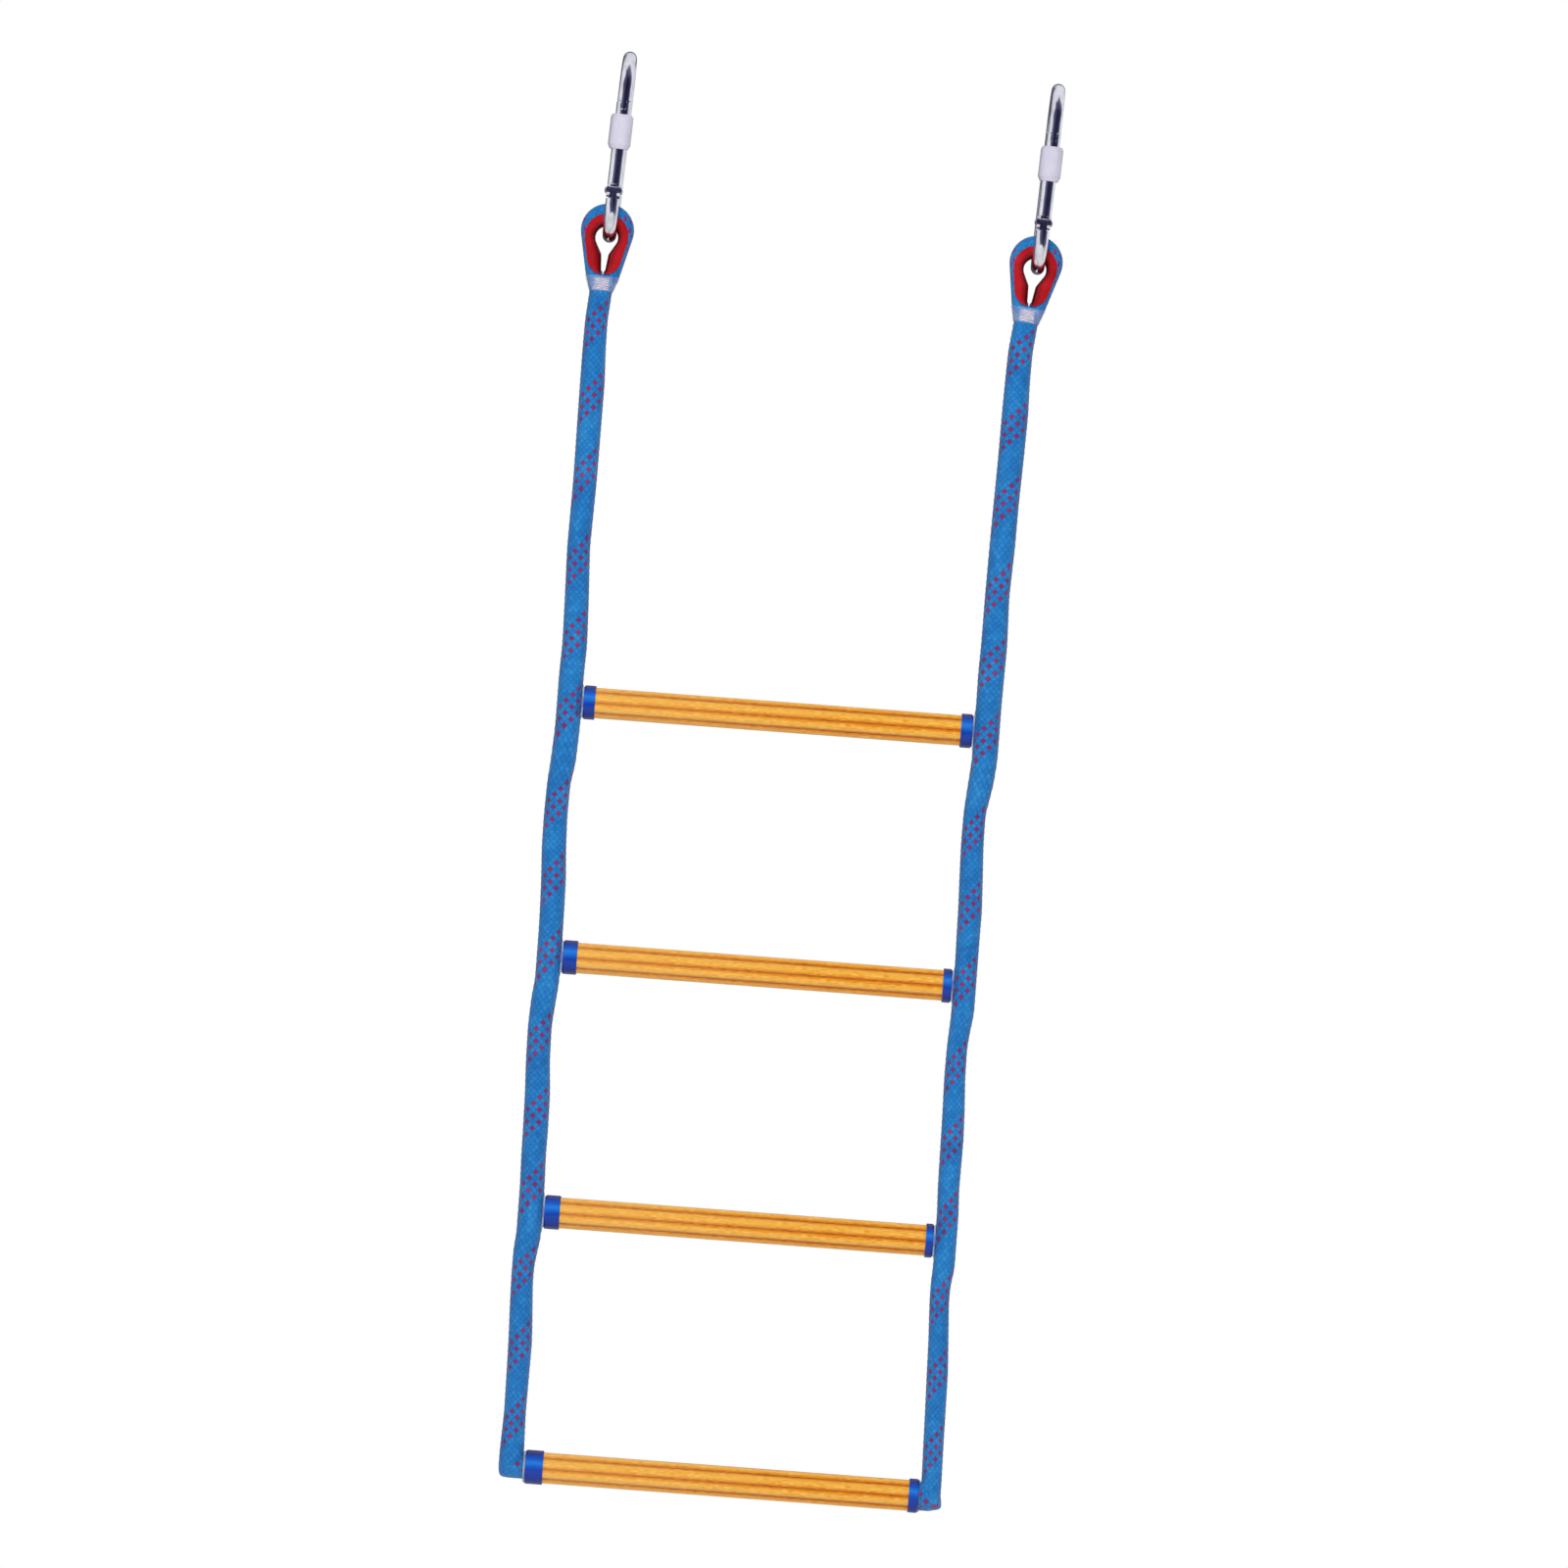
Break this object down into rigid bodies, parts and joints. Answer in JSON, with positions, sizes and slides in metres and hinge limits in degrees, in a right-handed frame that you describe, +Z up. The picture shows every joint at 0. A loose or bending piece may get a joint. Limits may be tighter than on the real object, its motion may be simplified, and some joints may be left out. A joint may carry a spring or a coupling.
{
  "type": "escape rope ladder",
  "caption": "Hanging escape ladder: two screw-lock link hooks, braided side ropes eye-spliced round thimbles, and ribbed tube rungs with end caps.",
  "frame": {"origin": "middle of the bearing line through the insides of the two hooks' top bows, above the middle of the rungs", "axes": "+X along the rungs to the right, +Y towards the back, +Z up along the ladder"},
  "size_m": [0.3487, 0.065, 1.0366],
  "materials": {
    "chrome_steel": "polished zinc plate",
    "dark_steel": "plain steel",
    "spring_steel": "drawn wire",
    "coated_sleeve": "pale coated metal",
    "red_plastic": "moulded, satin",
    "blue_rope": "braided polyester with red tracer strands",
    "cross_cord": "braided cord",
    "white_twine": "polyester sewing thread",
    "clear_sleeve": "clear shrink tube",
    "clear_plastic": "translucent, milky",
    "ribbed_resin": "glass-fibre weave in amber resin, ribbed",
    "blue_plastic": "moulded, glossy"
  },
  "bodies": {
    "hooks": {"left_hook_frame": "chrome_steel", "left_gate_pin": "dark_steel", "right_hook_frame": "chrome_steel", "right_gate_pin": "dark_steel"},
    "left_gate": {"left_gate": "chrome_steel", "left_latch_pin": "dark_steel", "left_gate_spring": "spring_steel", "left_gate_plunger": "dark_steel"},
    "left_lock": {"left_lock_sleeve": "coated_sleeve"},
    "right_gate": {"right_gate": "chrome_steel", "right_latch_pin": "dark_steel", "right_gate_spring": "spring_steel", "right_gate_plunger": "dark_steel"},
    "right_lock": {"right_lock_sleeve": "coated_sleeve"},
    "rope_tops": {"left_thimble": "red_plastic", "left_rope_eye": "blue_rope", "left_eye_stitching": "white_twine", "left_shrink_sleeve": "clear_sleeve", "left_rope_1": "blue_rope", "right_thimble": "red_plastic", "right_rope_eye": "blue_rope", "right_eye_stitching": "white_twine", "right_shrink_sleeve": "clear_sleeve", "right_rope_1": "blue_rope"},
    "rung_1": {"rung_1_tube": "ribbed_resin", "rung_1_left_cap": "blue_plastic", "rung_1_left_saddle": "clear_plastic", "rung_1_right_cap": "blue_plastic", "rung_1_right_saddle": "clear_plastic", "rung_1_cord": "cross_cord", "left_rope_2": "blue_rope", "right_rope_2": "blue_rope"},
    "rung_2": {"rung_2_tube": "ribbed_resin", "rung_2_left_cap": "blue_plastic", "rung_2_left_saddle": "clear_plastic", "rung_2_right_cap": "blue_plastic", "rung_2_right_saddle": "clear_plastic", "rung_2_cord": "cross_cord", "left_rope_3": "blue_rope", "right_rope_3": "blue_rope"},
    "rung_3": {"rung_3_tube": "ribbed_resin", "rung_3_left_cap": "blue_plastic", "rung_3_left_saddle": "clear_plastic", "rung_3_right_cap": "blue_plastic", "rung_3_right_saddle": "clear_plastic", "rung_3_cord": "cross_cord", "left_rope_4": "blue_rope", "right_rope_4": "blue_rope"},
    "rung_4": {"rung_4_tube": "ribbed_resin", "rung_4_left_cap": "blue_plastic", "rung_4_left_collar": "clear_plastic", "rung_4_right_cap": "blue_plastic", "rung_4_right_collar": "clear_plastic", "bottom_rope": "blue_rope"}
  },
  "joints": [
    {"name": "left_gate_hinge", "type": "hinge", "parent": "hooks", "child": "left_gate", "pos_m": [-0.1449, -0.026, -0.09302], "axis": [-0.9991, 0, 0.0419], "range_deg": [0, 25], "stiffness_Nm_per_rad": 0.2, "springref_deg": -28.65, "deforming": ["left_gate_spring"]},
    {"name": "left_lock_slide", "type": "slide", "parent": "left_gate", "child": "left_lock", "axis": [0.0419, 0, 0.9991], "range_m": [0, 0.012]},
    {"name": "right_gate_hinge", "type": "hinge", "parent": "hooks", "child": "right_gate", "pos_m": [0.1651, -0.026, -0.09302], "axis": [-0.9991, 0, 0.0419], "range_deg": [0, 25], "stiffness_Nm_per_rad": 0.2, "springref_deg": -28.65, "deforming": ["right_gate_spring"]},
    {"name": "right_lock_slide", "type": "slide", "parent": "right_gate", "child": "right_lock", "axis": [0.0419, 0, 0.9991], "range_m": [0, 0.012]},
    {"name": "swing", "type": "hinge", "parent": "hooks", "child": "rope_tops", "pos_m": [0, 0, -0.09801], "axis": [1, 0, 0], "range_deg": [-60, 60]},
    {"name": "bay_1_fold", "type": "hinge", "parent": "rope_tops", "child": "rung_1", "pos_m": [0, 0, -0.3135], "axis": [1, 0, 0], "range_deg": [-150, 150], "deforming": ["left_rope_1", "right_rope_1"]},
    {"name": "bay_2_fold", "type": "hinge", "parent": "rung_1", "child": "rung_2", "pos_m": [0, 0, -0.55325], "axis": [-1, 0, 0], "range_deg": [-150, 150], "deforming": ["left_rope_2", "right_rope_2"]},
    {"name": "bay_3_fold", "type": "hinge", "parent": "rung_2", "child": "rung_3", "pos_m": [0, 0, -0.73775], "axis": [1, 0, 0], "range_deg": [-150, 150], "deforming": ["left_rope_3", "right_rope_3"]},
    {"name": "bay_4_fold", "type": "hinge", "parent": "rung_3", "child": "rung_4", "pos_m": [0, 0, -0.92225], "axis": [-1, 0, 0], "range_deg": [-150, 150], "deforming": ["left_rope_4", "right_rope_4"]}
  ]
}
